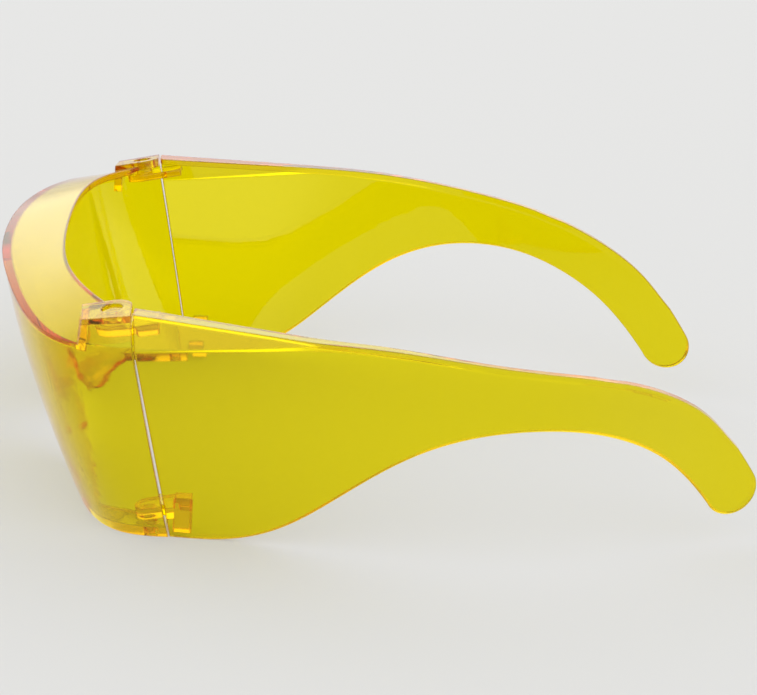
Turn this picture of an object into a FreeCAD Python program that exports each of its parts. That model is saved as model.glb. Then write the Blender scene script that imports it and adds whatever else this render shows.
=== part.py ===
"""Safety glasses worn over spectacles: one wrap-round shield and two folding temples, in clear plastic.

Millimetres. +X is the wearer's left, +Y points from the lens back to the ears, +Z is up.
The shapes are drawn with y = 0 at the top of the joint between shield and temple and z = 0 at the
lowest edge, and at the end everything is moved so that the origin is the middle of the footprint.
"""
import FreeCAD, Part
import math
import os

V = FreeCAD.Vector

# ---- driving dimensions -------------------------------------------------------------------------

wall = 2.0                     # thickness of the lens and of the temple panels
shelf_thickness = 1.8
split_gap = 0.4                # slot between shield and temple

# Top outer edge of the shield, from the middle to the joint: control points of a smooth curve.
brow_edge = [(14.5, -34.0, 49.6), (37.0, -30.7, 49.2), (62.6, -25.0, 47.0), (79.0, -15.0, 45.0),
             (77.8, 0.0, 45.1), (76.0, 14.0, 45.0)]
# Rear edge of the brow shelf, from the middle to the hinge lug.
shelf_edge = [(23.4, -19.7, 52.6), (48.7, -15.6, 52.3), (63.9, -6.4, 50.9), (75.0, 2.0, 50.6)]
lens_datum = 46.8              # height at which the lens section has its full width
lens_lean = 0.212              # the lens sets back by this much for each millimetre down
lens_narrowing = 0.096         # loss of width 45 mm below the datum, as a share
lens_flattening = 0.191        # loss of bulge 45 mm below the datum, as a share
narrowing_depth = 45.0
section_heights = (-6.0, 2.0, 14.0, 26.0, 38.0, 48.0, 60.0)
brow_roof_end = (77.8, 6.0, 45.1)    # where the front edge of the brow shelf is taken to end
roof_overhang = 0.35                 # the roof is drawn past the lens by this share of its depth
beyond = 110.0                       # further out than any part of the glasses
sole = 20.0                          # depth of the space that is cut away below them

# Lower edge of the shield seen from the front: the notch over the nose, then the level lobes.
notch_half = [(0.0, 19.2), (3.8, 17.6), (8.3, 12.1), (13.1, 6.6), (18.2, 3.9), (24.0, 1.8), (31.0, 0.5),
              (38.0, 0.0)]
notch_front = -45.0            # the notch is cut from here, ahead of the lens,
notch_reach = 60.0             # over this distance backwards
nose_flange_thickness = 1.6
nose_flange_top = (-23.0, 19.2)      # rear edge of the flange (y, z) over the nose
nose_flange_end = (-15.0, 4.3)       # and at its two lower ends

# The joint plane between shield and temple, seen from the side: (y, z) up the joint.
joint_line = [(12.36, -13.2), (0.0, 45.1), (-2.5, 70.0)]

# Hinge axis of the wearer's left temple: centre of the hole on top of the lug, and of the lower hole.
axis_top = V(68.6, -5.3, 51.9)
axis_foot = V(63.6, 5.3, 2.2)

lug_plate = 2.2
lug_hole_radius = 2.40
pin_clearance = 0.07
# Plan of the lug's top plate about the hinge axis: (outwards, backwards).
lug_front_inner = (-4.5, -6.9)
lug_front_outer = (4.4, -6.3)
lug_rear_outer = (6.2, 4.3)
lug_corner_radius = 4.5
lug_wall = 1.6
lug_foot_front = 79.4          # x of the lug's front outer corner where it meets the shelf
lug_foot_rear = (78.3, 1.5)    # and (x, y) of its rear outer corner
lug_sink = 1.0                 # the lug's outside starts this far below the shelf's edge,
pocket_sink = 5.0              # and its pocket this far
pocket_foot = [80.0, 79.0]     # x of the pocket's outer corners at its foot
pocket_rear = 9.0              # the pocket runs back past the joint
tongue_thickness = 1.7
tongue_radius = 4.3
tongue_gap = 1.3               # between the tongue and the plate above it
pip_recess = 0.5               # the pips stop this far short of the outer face of their hole

ledge_top = 2.3
ledge_inner_rear = (60.0, 9.0)
ledge_inner_front = (56.3, -8.4)
ledge_corner = (58.6, -11.0)
foot_hole_radius = 1.45
knuckle_radius = 2.9
knuckle_thickness = 2.6
knuckle_lift = 1.5             # from the middle of the ledge's top to the underside of the knuckle
gusset_front = 10.6            # where the gusset starts, behind the joint
gusset_length = 3.7
gusset_outline = [(61.0, 1.0), (61.0, 5.6), (65.4, 9.6), (74.0, 9.6), (74.0, 1.0)]

# The temple panel from above: outer face at its upper edge, (x, y).
temple_plan = [(77.2, -12.0), (77.8, 0.0), (80.2, 28.5), (81.7, 57.0), (80.2, 82.0), (74.6, 100.0),
               (67.0, 114.6), (59.6, 128.4), (54.0, 142.0), (50.6, 153.0)]
# How far the panel leans out for each millimetre up, along its length: (y, lean).
temple_lean = [(-12.0, 0.21), (28.0, 0.20), (58.0, 0.12), (90.0, 0.03), (153.0, 0.03)]
# Upper edge of the temple from the side: crease below the chamfer, ridge above it, (y, z).
crease_line = [(-12.0, 43.4), (0.0, 45.1), (40.6, 49.8)]
ridge_line = [(-12.0, 52.8), (0.0, 52.2), (40.6, 50.3)]
ridge_inset_front = 3.4        # the ridge stands this far inside the crease at the joint
flange_width_front = 5.2
flange_thickness = 1.4
crease_inner_drop = 0.3        # the inner corner of the crease lies this much lower than the outer one
flange_end = 74.0              # where the flange has narrowed to the thickness of the panel
# Outline of the temple seen from the side, from the top of the ear end round to the front corner.
temple_top = [(40.6, 50.3), (57.0, 49.7), (71.4, 48.0), (85.6, 46.1), (100.0, 43.9), (114.4, 40.2),
              (124.0, 35.2), (132.0, 29.0), (137.6, 22.4)]
tip_centre = (136.0, 13.9)
tip_radius = 6.2
tip_arc = (34.0, -60.0, -150.0)      # directions from the centre where the round end starts, is and stops
temple_bottom = [(124.8, 17.6), (118.2, 23.4), (109.0, 28.5), (99.8, 31.4), (88.0, 32.5), (74.0, 30.6),
                 (63.0, 26.2), (53.1, 19.6), (43.3, 11.5), (33.5, 4.4), (25.5, 1.2), (19.0, 0.2), (14.5, 0.0)]


# ---- helpers ------------------------------------------------------------------------------------

def spline(points):
    """Smooth edge through the points."""
    curve = Part.BSplineCurve()
    curve.interpolate([V(*p) for p in points])
    return curve


def control_curve(poles):
    """Smooth curve drawn towards its control points, which starts and ends on the outer two."""
    count = len(poles)
    inner_knots = count - 4
    knots = [i / (inner_knots + 1.0) for i in range(inner_knots + 2)]
    mults = [4] + [1] * inner_knots + [4]
    curve = Part.BSplineCurve()
    curve.buildFromPolesMultsKnots([V(*p) for p in poles], mults, knots, False, 3)
    return curve


def mirrored_list(half):
    """The half list, mirrored in X and run through from the right-hand side to the left."""
    return [(-x, y, z) for x, y, z in reversed(half)] + list(half)


def between(table, at):
    """Straight-line interpolation in a table of (position, value)."""
    if at <= table[0][0]:
        return table[0][1]
    for (a, va), (b, vb) in zip(table, table[1:]):
        if at <= b:
            return va + (vb - va) * (at - a) / (b - a)
    return table[-1][1]


def prism(points, direction):
    """Solid swept from a closed flat outline of straight edges."""
    corners = [V(*p) for p in points]
    return Part.Face(Part.makePolygon(corners + corners[:1])).extrude(V(*direction))


def hexahedron(bottom, top):
    """Solid between two four-sided outlines."""
    wires = []
    for ring in (bottom, top):
        corners = [V(*p) for p in ring]
        wires.append(Part.makePolygon(corners + corners[:1]))
    return Part.makeLoft(wires, True, True)


def mirror(shape):
    """The same shape for the wearer's other side."""
    return shape.mirror(V(0, 0, 0), V(1, 0, 0))


# ---- hinge frame: w runs up the hinge axis, v backwards, u outwards -------------------------------

axis_w = (axis_top - axis_foot).normalize()
axis_u = V(0, 1, 0).cross(axis_w).normalize()
axis_v = axis_w.cross(axis_u)


def hinge_point(origin, u, v, w=0.0):
    return origin + axis_u * u + axis_v * v + axis_w * w


def hinge_cylinder(origin, radius, w_low, w_high):
    """Round bar on the hinge axis."""
    return Part.makeCylinder(radius, w_high - w_low, hinge_point(origin, 0, 0, w_low), axis_w)


def hinge_block(origin, outline, w_low, w_high):
    """Block with a straight-edged outline in (u, v), square to the hinge axis."""
    corners = [hinge_point(origin, u, v, w_low) for u, v in outline]
    face = Part.Face(Part.makePolygon(corners + corners[:1]))
    return face.extrude(axis_w * (w_high - w_low))


# ---- the shield ---------------------------------------------------------------------------------

def lens_outer_curve(z):
    """Outer face of the lens, cut level at height z."""
    depth = lens_datum - z
    share = abs(depth) / narrowing_depth
    width = 1.0 - lens_narrowing * share ** 2.05
    bulge = 1.0 - math.copysign(lens_flattening * share ** 1.7, depth)
    poles = [(x * width, y * bulge + depth * lens_lean, z) for x, y, _ in mirrored_list(brow_edge)]
    return control_curve(poles)


def lens_block(inset):
    """Everything behind the lens's outer face moved inwards by inset, up to a flat back."""
    wires = []
    steps = 48
    for z in section_heights:
        curve = lens_outer_curve(z)
        first, last = curve.FirstParameter, curve.LastParameter
        points = []
        for i in range(steps + 1):
            u = first + (last - first) * i / steps
            tangent = curve.tangent(u)[0]
            inward = V(-tangent.y, tangent.x, 0).normalize()
            points.append(curve.value(u) + inward * inset)
        face_edge = Part.BSplineCurve()
        face_edge.interpolate(points)
        wires.append(Part.Wire([face_edge.toShape(), Part.makeLine(points[-1], points[0])]))
    return Part.makeLoft(wires, True, False)


def roof_face():
    """Top face of the brow shelf, carried out past the lens on every side."""
    front = control_curve(mirrored_list(brow_edge[:5] + [brow_roof_end]))
    rear = control_curve(mirrored_list(shelf_edge))
    steps = 40
    rings = [[], []]
    for i in range(steps + 1):
        share = i / float(steps)
        a = front.value(front.FirstParameter + share * (front.LastParameter - front.FirstParameter))
        b = rear.value(rear.FirstParameter + share * (rear.LastParameter - rear.FirstParameter))
        rings[0].append(b)
        rings[1].append(a + (a - b) * roof_overhang)
    edges = []
    for ring in rings:
        curve = Part.BSplineCurve()
        curve.interpolate(ring)
        edges.append(curve.toShape())
    return Part.makeRuledSurface(edges[0], edges[1])


def rear_space(shift):
    """All the space behind the joint, moved backwards by shift."""
    line = [(0.0, y + shift, z) for y, z in joint_line]
    outline = line + [(0.0, 2 * beyond, line[-1][2]), (0.0, 2 * beyond, line[0][2])]
    solid = prism(outline, (2 * beyond, 0, 0))
    solid.translate(V(-beyond, 0, 0))
    return solid


def notch_arch():
    """Points of the nose notch seen from the front, from one lobe over to the other."""
    return [(-x, 0.0, z) for x, z in reversed(notch_half[1:])] + [(x, 0.0, z) for x, z in notch_half]


def lower_edge_block():
    """Everything under the shield's lower edge: the nose notch between the level lobes."""
    arch = spline(notch_arch()).toShape()
    level_from = notch_half[-1][0]
    floor_points = [V(level_from, 0, 0), V(beyond, 0, 0), V(beyond, 0, -sole), V(-beyond, 0, -sole),
                    V(-beyond, 0, 0), V(-level_from, 0, 0)]
    edges = [arch] + [Part.makeLine(a, b) for a, b in zip(floor_points, floor_points[1:])]
    face = Part.Face(Part.Wire(Part.__sortEdges__(edges)))
    solid = face.extrude(V(0, notch_reach, 0))
    solid.translate(V(0, notch_front, 0))
    return solid


def nose_flange():
    """The rib that runs back from the edge of the nose notch, still filled in across the notch."""
    arch = spline([p for p in notch_arch() if p[2] >= nose_flange_end[1] - 0.5])
    outer = []
    steps = 24
    for i in range(steps + 1):
        u = arch.FirstParameter + (arch.LastParameter - arch.FirstParameter) * i / steps
        tangent = arch.tangent(u)[0]
        outer.append(arch.value(u) + V(-tangent.z, 0, tangent.x).normalize() * nose_flange_thickness)
    top = Part.BSplineCurve()
    top.interpolate(outer)
    profile = Part.Face(Part.Wire([top.toShape(), Part.makeLine(outer[-1], outer[0])]))
    filled = profile.extrude(V(0, notch_reach, 0))
    filled.translate(V(0, notch_front, 0))
    (y_top, z_top), (y_end, z_end) = nose_flange_top, nose_flange_end
    slope = (y_end - y_top) / (z_end - z_top)
    spare = 20.0
    limit = [(-beyond, notch_front, z_top + spare), (-beyond, y_top + slope * spare, z_top + spare),
             (-beyond, y_end - slope * spare, z_end - spare), (-beyond, notch_front, z_end - spare)]
    return filled.common(prism(limit, (2 * beyond, 0, 0)))


def lug():
    """Outside of the raised hinge lug: a plate over the tongue, with a front and an outer wall."""
    top = [hinge_point(axis_top, *p) for p in (lug_front_inner, lug_front_outer, lug_rear_outer,
                                                (lug_front_inner[0], lug_rear_outer[1]))]
    base_z = brow_edge[4][2] - lug_sink
    base = [V(top[0].x, top[0].y, base_z), V(lug_foot_front, top[1].y - 0.5, base_z),
            V(*lug_foot_rear, base_z), V(top[3].x, lug_foot_rear[1], base_z)]
    solid = hexahedron([tuple(p) for p in base], [tuple(p) for p in top])
    side = 2 * lug_corner_radius
    corner = hinge_block(axis_top, [(0, 0), (0, side), (-side, side), (-side, 0)], -sole, 5.0)
    corner = corner.cut(hinge_cylinder(axis_top, lug_corner_radius, -sole, 5.0))
    return solid.cut(corner)


def lug_pocket(inner_block):
    """The room under the lug's plate in which the tongue turns, open behind and inwards."""
    inner = lug_front_inner[0] - 0.1
    front = lug_front_inner[1] + lug_wall
    top = [hinge_point(axis_top, u, v, -lug_plate) for u, v in
           ((inner, front), (lug_front_outer[0] - 0.6, front), (lug_rear_outer[0] - 0.6, pocket_rear),
            (inner, pocket_rear))]
    base_z = brow_edge[4][2] - pocket_sink
    front_x, rear_x = pocket_foot
    base = [V(top[0].x, top[0].y, base_z), V(front_x, top[1].y, base_z), V(rear_x, 4.0, base_z),
            V(top[3].x, 4.0, base_z)]
    return hexahedron([tuple(p) for p in base], [tuple(p) for p in top]).common(inner_block)


def ledge(outer_block):
    """The thick bottom corner with the hole of the lower pivot."""
    outline = [ledge_inner_rear, ledge_inner_front, ledge_corner, (80.0, ledge_corner[1]), (80.0, 14.0),
               (ledge_inner_rear[0] + 1.1, 14.0)]
    return prism([(x, y, 0.0) for x, y in outline], (0, 0, ledge_top)).common(outer_block)


def front_shield():
    """The moulding is what stays of the lens block when its hollow and its surroundings are taken away."""
    outer_block = lens_block(0.0)
    inner_block = lens_block(wall)
    roof = roof_face()
    one_lug = lug()
    lugs = [one_lug, mirror(one_lug)]
    one_ledge = ledge(outer_block)
    above = roof.extrude(V(0, 0, 40.0)).cut(lugs)
    underside = roof.copy()
    underside.translate(V(0, 0, -shelf_thickness))
    hollow = inner_block.cut([underside.extrude(V(0, 0, 40.0)), nose_flange()] + lugs
                             + [one_ledge, mirror(one_ledge)])
    one_pocket = lug_pocket(inner_block)
    holes = [hinge_cylinder(axis_top, lug_hole_radius, -6.0, 4.0),
             hinge_cylinder(axis_foot, foot_hole_radius, -6.0, 6.0)]
    body = outer_block.cut(rear_space(-split_gap / 2))
    for cutter in (above, hollow, lower_edge_block(), one_pocket, mirror(one_pocket)):
        body = body.cut(cutter)
    for hole in holes:
        body = body.cut([hole, mirror(hole)])
    return body


# ---- the temples --------------------------------------------------------------------------------

def temple_section(y, plan):
    """Outline of the temple cut across at y: panel, chamfer and top flange, closed anticlockwise."""
    here = plan.value(plan.parameter(V(between([(q[1], q[0]) for q in temple_plan], y), y, 0)))
    slope = plan.tangent(plan.parameter(here))[0]
    stretch = 1.0 / abs(slope.y)
    thick = wall * stretch
    lean = between(temple_lean, y)
    edge_z = between(crease_line, y) if y < crease_line[-1][0] else between(temple_top, y) - 0.5
    ridge_z = between(ridge_line, y) if y < ridge_line[-1][0] else between(temple_top, y)
    fade = max(0.0, 1.0 - max(y, 0.0) / crease_line[-1][0])
    inset = ridge_inset_front * fade
    taper = max(0.0, 1.0 - max(y, 0.0) / flange_end)
    flange = thick + (flange_width_front - wall) * taper
    low_z = -30.0
    x_crease = here.x
    x_ridge = here.x - inset - 0.1
    x_low = here.x - lean * (edge_z - low_z)
    inner_drop = flange_thickness + (crease_inner_drop - flange_thickness) * fade
    section = [(x_low, low_z), (x_crease, edge_z), (x_ridge, ridge_z), (x_ridge - flange, ridge_z + 0.05),
               (x_ridge - flange, ridge_z - flange_thickness),
               (x_ridge - thick, ridge_z - flange_thickness - 0.1),
               (x_crease - thick, edge_z - inner_drop), (x_low - thick, low_z)]
    return [V(x, y, z) for x, z in section]


def temple_sheet():
    """Panel, chamfer and flange, longer at both ends and below than the finished temple."""
    plan = spline([(x, y, 0.0) for x, y in temple_plan])
    wires = []
    for y in (-6.0, 0.0, 10.0, 20.0, 30.0, 40.6, 52.0, 63.0, 74.0, 86.0, 98.0, 110.0, 120.0, 130.0,
              138.0, 146.0):
        corners = temple_section(y, plan)
        wires.append(Part.makePolygon(corners + corners[:1]))
    return Part.makeLoft(wires, True, False)


def temple_outline():
    """Everything inside the temple's outline seen from the side."""
    front_top = [V(0, -20.0, 60.0), V(0, 36.0, 60.0), V(0, 40.6, 50.3 + 3.0)]
    tip = [(0.0, tip_centre[0] + tip_radius * math.cos(math.radians(a)),
            tip_centre[1] + tip_radius * math.sin(math.radians(a))) for a in tip_arc]
    upper = spline([(0.0, y, z + (3.0 if y < 100 else 0.0)) for y, z in temple_top] + tip[:1])
    lower = spline(tip[-1:] + [(0.0, y, z) for y, z in temple_bottom])
    round_end = Part.Arc(*[V(*p) for p in tip]).toShape()
    edges = [Part.makeLine(p, q) for p, q in zip(front_top, front_top[1:])]
    edges += [upper.toShape(), round_end, lower.toShape(),
              Part.makeLine(V(0, *temple_bottom[-1]), V(0, -20.0, 0.0)),
              Part.makeLine(V(0, -20.0, 0.0), front_top[0])]
    face = Part.Face(Part.Wire(Part.__sortEdges__(edges)))
    return face.extrude(V(110.0, 0, 0))


def tongue():
    """Upper hinge half: the rounded tongue under the lug with its pip."""
    high = -lug_plate - tongue_gap
    low = high - tongue_thickness
    r = tongue_radius
    arm = hinge_block(axis_top, [(-r, 0), (r, 0), (r, 4.9), (7.6, 5.9), (7.6, 9.8), (-3.2, 9.8)], low, high)
    disc = hinge_cylinder(axis_top, r, low, high)
    pip = hinge_cylinder(axis_top, lug_hole_radius - pin_clearance, low, -pip_recess)
    return arm.fuse([disc, pip])


def knuckle():
    """Lower hinge half: the block over the ledge with its pip, and the gusset behind it."""
    low = knuckle_lift
    high = low + knuckle_thickness
    r = knuckle_radius
    arm = hinge_block(axis_foot, [(-r, 0), (r, 0), (r, 4.2), (6.0, 4.2), (6.0, 7.2), (-r, 7.2)], low, high)
    disc = hinge_cylinder(axis_foot, r, low, high)
    pip = hinge_cylinder(axis_foot, foot_hole_radius - pin_clearance, -ledge_top + pip_recess, high)
    return arm.fuse([disc, pip])


def gusset():
    """Upright wedge that ties the knuckle to the panel, just behind the joint."""
    return prism([(x, gusset_front, z) for x, z in gusset_outline], (0, gusset_length, 0))


def temple_inner_trim():
    """Space outside the temple's outer face, where the hinge halves must not come through."""
    plan = spline([(x, y, 0.0) for x, y in temple_plan])
    wires = []
    for y in (-12.0, 0.0, 10.0, 20.0, 30.0):
        low, crease, ridge = temple_section(y, plan)[:3]
        far = [V(120.0, y, ridge.z + 20.0), V(120.0, y, low.z)]
        above = V(ridge.x, y, ridge.z + 20.0)
        corners = [low, crease, ridge, above] + far
        wires.append(Part.makePolygon(corners + corners[:1]))
    return Part.makeLoft(wires, True, False)


def left_temple():
    behind = rear_space(split_gap / 2)
    sheet = temple_sheet().common(temple_outline()).common(behind)
    hinge_room = hinge_cylinder(axis_top, lug_corner_radius + 0.6, -2.4, 6.0)
    sheet = sheet.cut(hinge_room)
    trim = temple_inner_trim()
    floor = Part.makeBox(200, 300, 20, V(0, -100, -20))
    parts = [tongue().cut(trim), knuckle().cut(trim).cut(floor), gusset().cut(trim).cut(floor)]
    return sheet.fuse(parts).removeSplitter()


# ---- assembly -----------------------------------------------------------------------------------

def main():
    shield = front_shield()
    left = left_temple()
    nodes = {"front_shield": shield, "left_temple": left, "right_temple": mirror(left)}
    whole = Part.makeCompound(list(nodes.values())).optimalBoundingBox(True, False)
    to_origin = V(0, -(whole.YMin + whole.YMax) / 2, -whole.ZMin)
    os.makedirs("parts", exist_ok=True)
    for name, shape in nodes.items():
        shape.translate(to_origin)
        shape.exportStep("parts/%s.step" % name)
        print(name, "valid", shape.isValid(), "solids", len(shape.Solids), "cm3 %.2f" % (shape.Volume / 1000),
              "centre", shape.CenterOfGravity)
    print("size %.1f x %.1f x %.1f" % (whole.XLength, whole.YLength, whole.ZLength))
    print("hinge axis of the left temple through", axis_top + to_origin, "along", axis_w)


main()
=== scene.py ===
"""Clear yellow safety glasses on a pale floor: the looks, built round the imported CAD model."""
import math

import bpy
from mathutils import Matrix, Vector

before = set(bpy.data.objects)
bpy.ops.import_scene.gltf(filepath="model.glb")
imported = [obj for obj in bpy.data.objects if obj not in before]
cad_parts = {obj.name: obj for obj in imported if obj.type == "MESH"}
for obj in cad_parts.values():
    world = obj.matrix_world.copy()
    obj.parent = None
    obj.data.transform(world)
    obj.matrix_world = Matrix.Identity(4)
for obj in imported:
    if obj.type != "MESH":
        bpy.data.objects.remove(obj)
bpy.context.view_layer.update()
scene = bpy.context.scene

# ---- floor, in metres -----------------------------------------------------------------------------

FLOOR_RADIUS = 6.0
FLOOR_SIDES = 96
FLOOR_COLOUR = (0.36, 0.36, 0.355, 1.0)
FLOOR_ROUGHNESS = 0.9
FLOOR_GLOSS = 0.2

# The floor gives off a little light of its own, to come closer to a white background.
FLOOR_GLOW = 0.32
GLOW_COLOUR = (1.0, 1.0, 0.99, 1.0)

# ---- camera, in metres: where it looks, from which side, and how it is rolled ---------------------

VIEW_TARGET = Vector((0.0, 0.003, 0.0252))
VIEW_AZIMUTH = math.radians(86.63)
VIEW_ELEVATION = math.radians(17.22)
VIEW_ROLL = math.radians(4.36)
VIEW_DISTANCE = 0.661
NEAREST_SEEN = 0.01

# Sensor width and lens length are in millimetres.
SENSOR_WIDTH = 36.0
LENS_LENGTH = 128.7

# ---- plastic: values found by trial, not measured on a real plastic -------------------------------

# The dye absorbs DYE_DENSITY times (1 - DYE_COLOUR) per metre of depth, colour by colour.
DYE_DENSITY = 1200.0
DYE_COLOUR = (0.9970, 0.9690, 0.0, 1.0)

# Tint at each surface: on the plain faces, and a darker colour painted along the edges as shade.
SKIN_COLOUR = (0.89, 0.815, 0.002, 1.0)
PAINTED_EDGE_SHADE = (0.26, 0.17, 0.0, 1.0)
PLASTIC_IOR = 1.585
GLOSS_TINT = (1.0, 1.0, 0.30, 1.0)
GLOSS_LEVEL = 0.85

# Radius, in metres, by which edges are shaded as if they were rounded. The meshes stay sharp.
EDGE_RADIUS = 0.0006
EDGE_SAMPLES = 4

# Cosine of the angle between rounded and true surface: where the painted edge shade begins, and is full.
EDGE_SHADE_BEGINS = 0.97
EDGE_SHADE_FULL = 0.76

# Smears of handling: how fine, detailed and wandering they are, and the noise values between which
# the polish gives way to them.
SMEAR_SCALE = 38.0
SMEAR_DETAIL = 4.0
SMEAR_WANDER = 0.8
SMEAR_FAINT = 0.35
SMEAR_STRONG = 0.75
POLISHED_ROUGHNESS = 0.004
SMEARED_ROUGHNESS = 0.05

# Each piece's marks are shifted by its seed along x, and by this share of it along y.
SEED_SLANT = 0.37

# ---- light ----------------------------------------------------------------------------------------

# Light zigzags this often inside the walls before it is given up.
LIGHT_BOUNCES = 40

# Brightness of the studio at each height above the horizon: (sine of the elevation, brightness).
DOME = [(-1.0, 0.84), (0.02, 0.89), (0.16, 1.55), (0.45, 1.7), (0.66, 1.55), (0.84, 0.95), (1.0, 0.5)]
NADIR = -1.0
ZENITH = 1.0


# ---- materials ------------------------------------------------------------------------------------

def node(tree, kind, **values):
    """Adds a shader node and sets its properties."""
    made = tree.nodes.new(kind)
    for name, value in values.items():
        setattr(made, name, value)
    return made


def clear_plastic(name, seed):
    """Polished clear plastic: tinted at its surfaces and by a dye in its depth, with shade painted along
    its edges.
    """
    material = bpy.data.materials.new(name)
    material.use_nodes = True
    tree = material.node_tree
    tree.nodes.clear()
    out = node(tree, "ShaderNodeOutputMaterial")
    shader = node(tree, "ShaderNodeBsdfPrincipled")
    shader.inputs["Base Color"].default_value = SKIN_COLOUR
    shader.inputs["IOR"].default_value = PLASTIC_IOR
    shader.inputs["Transmission Weight"].default_value = 1.0
    shader.inputs["Specular Tint"].default_value = GLOSS_TINT
    shader.inputs["Specular IOR Level"].default_value = GLOSS_LEVEL
    tree.links.new(shader.outputs["BSDF"], out.inputs["Surface"])

    dye = node(tree, "ShaderNodeVolumeAbsorption")
    dye.inputs["Color"].default_value = DYE_COLOUR
    dye.inputs["Density"].default_value = DYE_DENSITY
    tree.links.new(dye.outputs["Volume"], out.inputs["Volume"])

    place = node(tree, "ShaderNodeTexCoord")
    shift = node(tree, "ShaderNodeMapping")
    shift.inputs["Location"].default_value = (seed, seed * SEED_SLANT, 0.0)
    tree.links.new(place.outputs["Object"], shift.inputs["Vector"])

    # Faint smears of handling, which dull the polish a little.
    smears = node(tree, "ShaderNodeTexNoise")
    smears.inputs["Scale"].default_value = SMEAR_SCALE
    smears.inputs["Detail"].default_value = SMEAR_DETAIL
    smears.inputs["Distortion"].default_value = SMEAR_WANDER
    tree.links.new(shift.outputs["Vector"], smears.inputs["Vector"])
    polish = node(tree, "ShaderNodeMapRange")
    polish.inputs["From Min"].default_value = SMEAR_FAINT
    polish.inputs["From Max"].default_value = SMEAR_STRONG
    polish.inputs["To Min"].default_value = POLISHED_ROUGHNESS
    polish.inputs["To Max"].default_value = SMEARED_ROUGHNESS
    tree.links.new(smears.outputs["Fac"], polish.inputs["Value"])
    tree.links.new(polish.outputs["Result"], shader.inputs["Roughness"])

    # Edges are shaded as if they had the small radius of a moulding.
    rounded = node(tree, "ShaderNodeBevel", samples=EDGE_SAMPLES)
    rounded.inputs["Radius"].default_value = EDGE_RADIUS
    tree.links.new(rounded.outputs["Normal"], shader.inputs["Normal"])

    # Painted shade: a darker colour takes over along the edges, where the rounded surface turns away from
    # the true one.
    shape = node(tree, "ShaderNodeNewGeometry")
    agreement = node(tree, "ShaderNodeVectorMath", operation="DOT_PRODUCT")
    tree.links.new(rounded.outputs["Normal"], agreement.inputs[0])
    tree.links.new(shape.outputs["Normal"], agreement.inputs[1])
    edge_shade_mask = node(tree, "ShaderNodeMapRange")
    edge_shade_mask.inputs["From Min"].default_value = EDGE_SHADE_BEGINS
    edge_shade_mask.inputs["From Max"].default_value = EDGE_SHADE_FULL
    tree.links.new(agreement.outputs["Value"], edge_shade_mask.inputs["Value"])
    skin_with_painted_shade = node(tree, "ShaderNodeMix", data_type="RGBA")
    skin_with_painted_shade.inputs["A"].default_value = SKIN_COLOUR
    skin_with_painted_shade.inputs["B"].default_value = PAINTED_EDGE_SHADE
    tree.links.new(edge_shade_mask.outputs["Result"], skin_with_painted_shade.inputs["Factor"])
    tree.links.new(skin_with_painted_shade.outputs["Result"], shader.inputs["Base Color"])
    return material


def floor_material():
    """Plain pale studio paper, with a little glow of its own."""
    material = bpy.data.materials.new("studio_paper")
    material.use_nodes = True
    shader = material.node_tree.nodes["Principled BSDF"]
    shader.inputs["Base Color"].default_value = FLOOR_COLOUR
    shader.inputs["Roughness"].default_value = FLOOR_ROUGHNESS
    shader.inputs["Emission Color"].default_value = GLOW_COLOUR
    shader.inputs["Emission Strength"].default_value = FLOOR_GLOW
    shader.inputs["Specular IOR Level"].default_value = FLOOR_GLOSS
    return material


# ---- the object -----------------------------------------------------------------------------------

def dress_nodes():
    """Gives each CAD piece the clear plastic, with its own marks."""
    for index, (name, piece) in enumerate(sorted(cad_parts.items())):
        plastic = clear_plastic("clear_plastic_" + name, 1.0 + index)
        for slot in piece.material_slots:
            slot.material = plastic


# ---- the studio -----------------------------------------------------------------------------------

def make_floor():
    """A wide round floor."""
    bpy.ops.mesh.primitive_circle_add(vertices=FLOOR_SIDES, radius=FLOOR_RADIUS, fill_type="NGON")
    floor = bpy.context.active_object
    floor.name = "floor"
    floor.data.materials.append(floor_material())


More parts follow.
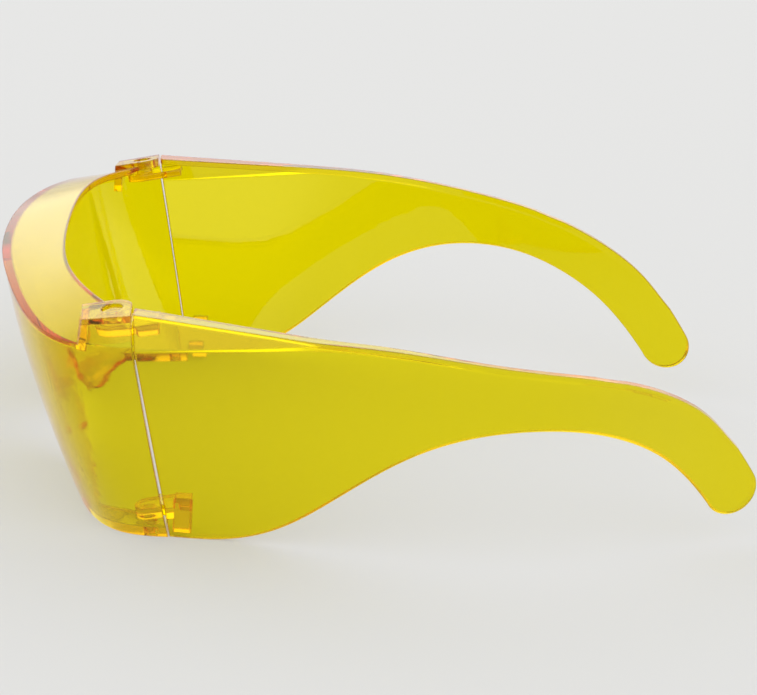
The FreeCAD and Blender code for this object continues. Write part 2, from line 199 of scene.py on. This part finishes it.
def make_world():
    """Soft white light from all round, strongest about 27 degrees up, like a ring of softboxes."""
    world = bpy.data.worlds.new("studio")
    world.use_nodes = True
    tree = world.node_tree
    background = tree.nodes["Background"]
    place = node(tree, "ShaderNodeTexCoord")
    split = node(tree, "ShaderNodeSeparateXYZ")
    tree.links.new(place.outputs["Generated"], split.inputs["Vector"])
    height = node(tree, "ShaderNodeMapRange")
    height.inputs["From Min"].default_value = NADIR
    height.inputs["From Max"].default_value = ZENITH
    tree.links.new(split.outputs["Z"], height.inputs["Value"])
    ramp = node(tree, "ShaderNodeValToRGB")
    ramp.color_ramp.interpolation = "EASE"
    stops = ramp.color_ramp.elements
    while len(stops) < len(DOME):
        stops.new(0.5)
    for stop, (sine, _) in zip(stops, DOME):
        stop.position = (sine - NADIR) / (ZENITH - NADIR)
    peak = max(level for _, level in DOME)
    for stop, (_, level) in zip(stops, DOME):
        share = level / peak
        stop.color = (share, share, share, 1.0)
    background.inputs["Strength"].default_value = peak
    tree.links.new(height.outputs["Result"], ramp.inputs["Fac"])
    tree.links.new(ramp.outputs["Color"], background.inputs["Color"])
    scene.world = world


def make_camera():
    """The camera stands at the given angle round the target and is rolled a little."""
    forward = Vector((-math.sin(VIEW_AZIMUTH) * math.cos(VIEW_ELEVATION),
                      math.cos(VIEW_AZIMUTH) * math.cos(VIEW_ELEVATION),
                      -math.sin(VIEW_ELEVATION)))
    right = Vector((math.cos(VIEW_AZIMUTH), math.sin(VIEW_AZIMUTH), 0.0))
    up = right.cross(forward)
    rolled_right = right * math.cos(VIEW_ROLL) + up * math.sin(VIEW_ROLL)
    rolled_up = rolled_right.cross(forward)
    data = bpy.data.cameras.new("camera")
    data.sensor_width = SENSOR_WIDTH
    data.lens = LENS_LENGTH
    data.clip_start = NEAREST_SEEN
    camera = bpy.data.objects.new("camera", data)
    turn = Matrix((rolled_right, rolled_up, -forward)).transposed().to_4x4()
    camera.matrix_world = Matrix.Translation(VIEW_TARGET - forward * VIEW_DISTANCE) @ turn
    scene.collection.objects.link(camera)
    scene.camera = camera


scene.view_settings.view_transform = "Standard"
scene.cycles.max_bounces = LIGHT_BOUNCES
scene.cycles.transmission_bounces = LIGHT_BOUNCES
scene.cycles.glossy_bounces = LIGHT_BOUNCES
dress_nodes()
make_floor()
make_world()
make_camera()
